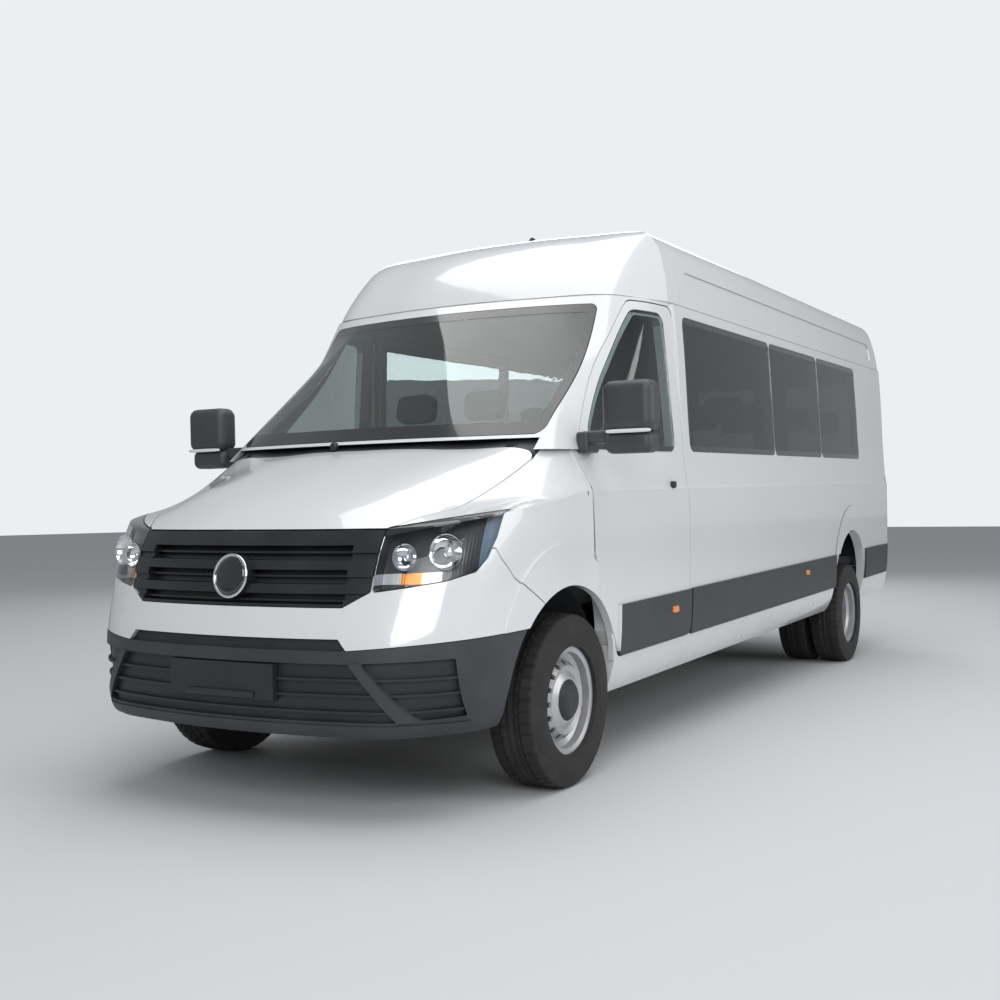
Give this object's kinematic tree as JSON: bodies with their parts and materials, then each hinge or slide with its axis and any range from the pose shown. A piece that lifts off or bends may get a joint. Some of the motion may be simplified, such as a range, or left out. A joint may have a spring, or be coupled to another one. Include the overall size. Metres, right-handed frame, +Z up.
{
  "type": "minibus",
  "caption": "Long-wheelbase high-roof minibus with twin rear wheels, opening front and rear doors, bonnet, steering and rolling wheels.",
  "frame": {"origin": "on the ground, under the middle of the length and on the centre plane", "axes": "+Z up, the vehicle faces -Y, +X is its left side"},
  "size_m": [2.568, 6.8645, 2.7017],
  "materials": {
    "white_paint": "gloss white",
    "dark_plastic": "grained anthracite",
    "seat_fabric": "woven grey",
    "chassis_steel": "black wax",
    "cabin_plastic": "grained",
    "engine_iron": "as cast",
    "exhaust_steel": "dull",
    "clear_glass": "lightly tinted",
    "wheel_steel": "silver",
    "tyre_rubber": "tread and plain walls",
    "tank_plastic": "moulded",
    "grille_plastic": "satin black",
    "lamp_plastic": "clear over bright reflectors",
    "radiator_aluminium": "dull",
    "tinted_glass": "dark tinted"
  },
  "bodies": {
    "root": {"bumper_front": "white_paint", "bumper_insert": "dark_plastic", "bumper_lower": "dark_plastic", "cab_frame": "white_paint", "cab_seats": "seat_fabric", "chassis_rails": "chassis_steel", "dashboard": "cabin_plastic", "engine_block": "engine_iron", "exhaust": "exhaust_steel", "fenders": "white_paint", "floor_pan": "chassis_steel", "front_carrier": "chassis_steel", "front_subframe": "chassis_steel", "fuel_tank": "tank_plastic", "grille": "grille_plastic", "headlights": "lamp_plastic", "leaf_springs": "chassis_steel", "passenger_seats": "seat_fabric", "propshaft": "chassis_steel", "radiator": "radiator_aluminium", "rear_axle": "chassis_steel", "rear_bumper": "dark_plastic", "roof": "white_paint", "scuttle": "dark_plastic", "side_panel_left": "white_paint", "side_panel_right": "white_paint", "side_strips": "dark_plastic", "side_windows": "tinted_glass", "sliding_door": "white_paint", "tail_lamps": "lamp_plastic", "wheel_liners": "dark_plastic", "windscreen": "clear_glass"},
    "bonnet": {"bonnet": "white_paint"},
    "front_door_left": {"front_door_left": "white_paint", "front_door_glass_left": "clear_glass", "mirror_left": "dark_plastic"},
    "front_door_right": {"front_door_right": "white_paint", "front_door_glass_right": "clear_glass", "mirror_right": "dark_plastic"},
    "rear_door_left": {"rear_door_left": "white_paint", "rear_door_glass_left": "tinted_glass"},
    "rear_door_right": {"rear_door_right": "white_paint", "rear_door_glass_right": "tinted_glass"},
    "steering_wheel": {"steering_wheel": "cabin_plastic"},
    "knuckle_left": {"knuckle_left": "chassis_steel"},
    "knuckle_right": {"knuckle_right": "chassis_steel"},
    "front_wheel_left": {"front_rim_left": "wheel_steel", "front_tyre_left": "tyre_rubber"},
    "front_wheel_right": {"front_rim_right": "wheel_steel", "front_tyre_right": "tyre_rubber"},
    "rear_wheels_left": {"rear_rims_left": "wheel_steel", "rear_tyres_left": "tyre_rubber"},
    "rear_wheels_right": {"rear_rims_right": "wheel_steel", "rear_tyres_right": "tyre_rubber"}
  },
  "joints": [
    {"name": "bonnet_hinge", "type": "hinge", "parent": "root", "child": "bonnet", "pos_m": [0, -2.4512, 1.41983], "axis": [-1, 0, 0], "range_deg": [0, 55]},
    {"name": "front_door_left_hinge", "type": "hinge", "parent": "root", "child": "front_door_left", "pos_m": [0.993, -2.31844, 1.00252], "axis": [0, 0.0209, -0.9998], "range_deg": [0, 68]},
    {"name": "front_door_right_hinge", "type": "hinge", "parent": "root", "child": "front_door_right", "pos_m": [-0.993, -2.31844, 1.00252], "axis": [0, -0.0209, 0.9998], "range_deg": [0, 68]},
    {"name": "rear_door_left_hinge", "type": "hinge", "parent": "root", "child": "rear_door_left", "pos_m": [0.87, 3.41431, 1.12261], "axis": [0, 0.0209, -0.9998], "range_deg": [0, 180]},
    {"name": "rear_door_right_hinge", "type": "hinge", "parent": "root", "child": "rear_door_right", "pos_m": [-0.87, 3.41431, 1.12261], "axis": [0, -0.0209, 0.9998], "range_deg": [0, 180]},
    {"name": "steer_left", "type": "hinge", "parent": "root", "child": "knuckle_left", "pos_m": [0.825, -2.42847, 0.357], "axis": [0, 0, 1], "range_deg": [-35, 35]},
    {"name": "steer_right", "type": "hinge", "parent": "root", "child": "knuckle_right", "pos_m": [-0.825, -2.42847, 0.357], "axis": [0, 0, 1], "range_deg": [-35, 35]},
    {"name": "steering_wheel_turn", "type": "hinge", "parent": "root", "child": "steering_wheel", "pos_m": [0.42, -1.95701, 1.32016], "axis": [0, 0.7291, 0.6844], "range_deg": [-530, 530]},
    {"name": "front_wheel_left_roll", "type": "hinge", "parent": "knuckle_left", "child": "front_wheel_left", "pos_m": [0.874, -2.42847, 0.357], "axis": [1, 0, 0], "continuous": true},
    {"name": "front_wheel_right_roll", "type": "hinge", "parent": "knuckle_right", "child": "front_wheel_right", "pos_m": [-0.874, -2.42847, 0.357], "axis": [1, 0, 0], "continuous": true},
    {"name": "rear_wheels_left_roll", "type": "hinge", "parent": "root", "child": "rear_wheels_left", "pos_m": [0.767, 2.06154, 0.357], "axis": [1, 0, 0], "continuous": true},
    {"name": "rear_wheels_right_roll", "type": "hinge", "parent": "root", "child": "rear_wheels_right", "pos_m": [-0.767, 2.06154, 0.357], "axis": [1, 0, 0], "continuous": true}
  ],
  "couplings": [
    {"joint": "steer_right", "follows": "steer_left", "ratio": 1},
    {"joint": "steering_wheel_turn", "follows": "steer_left", "ratio": 15}
  ]
}
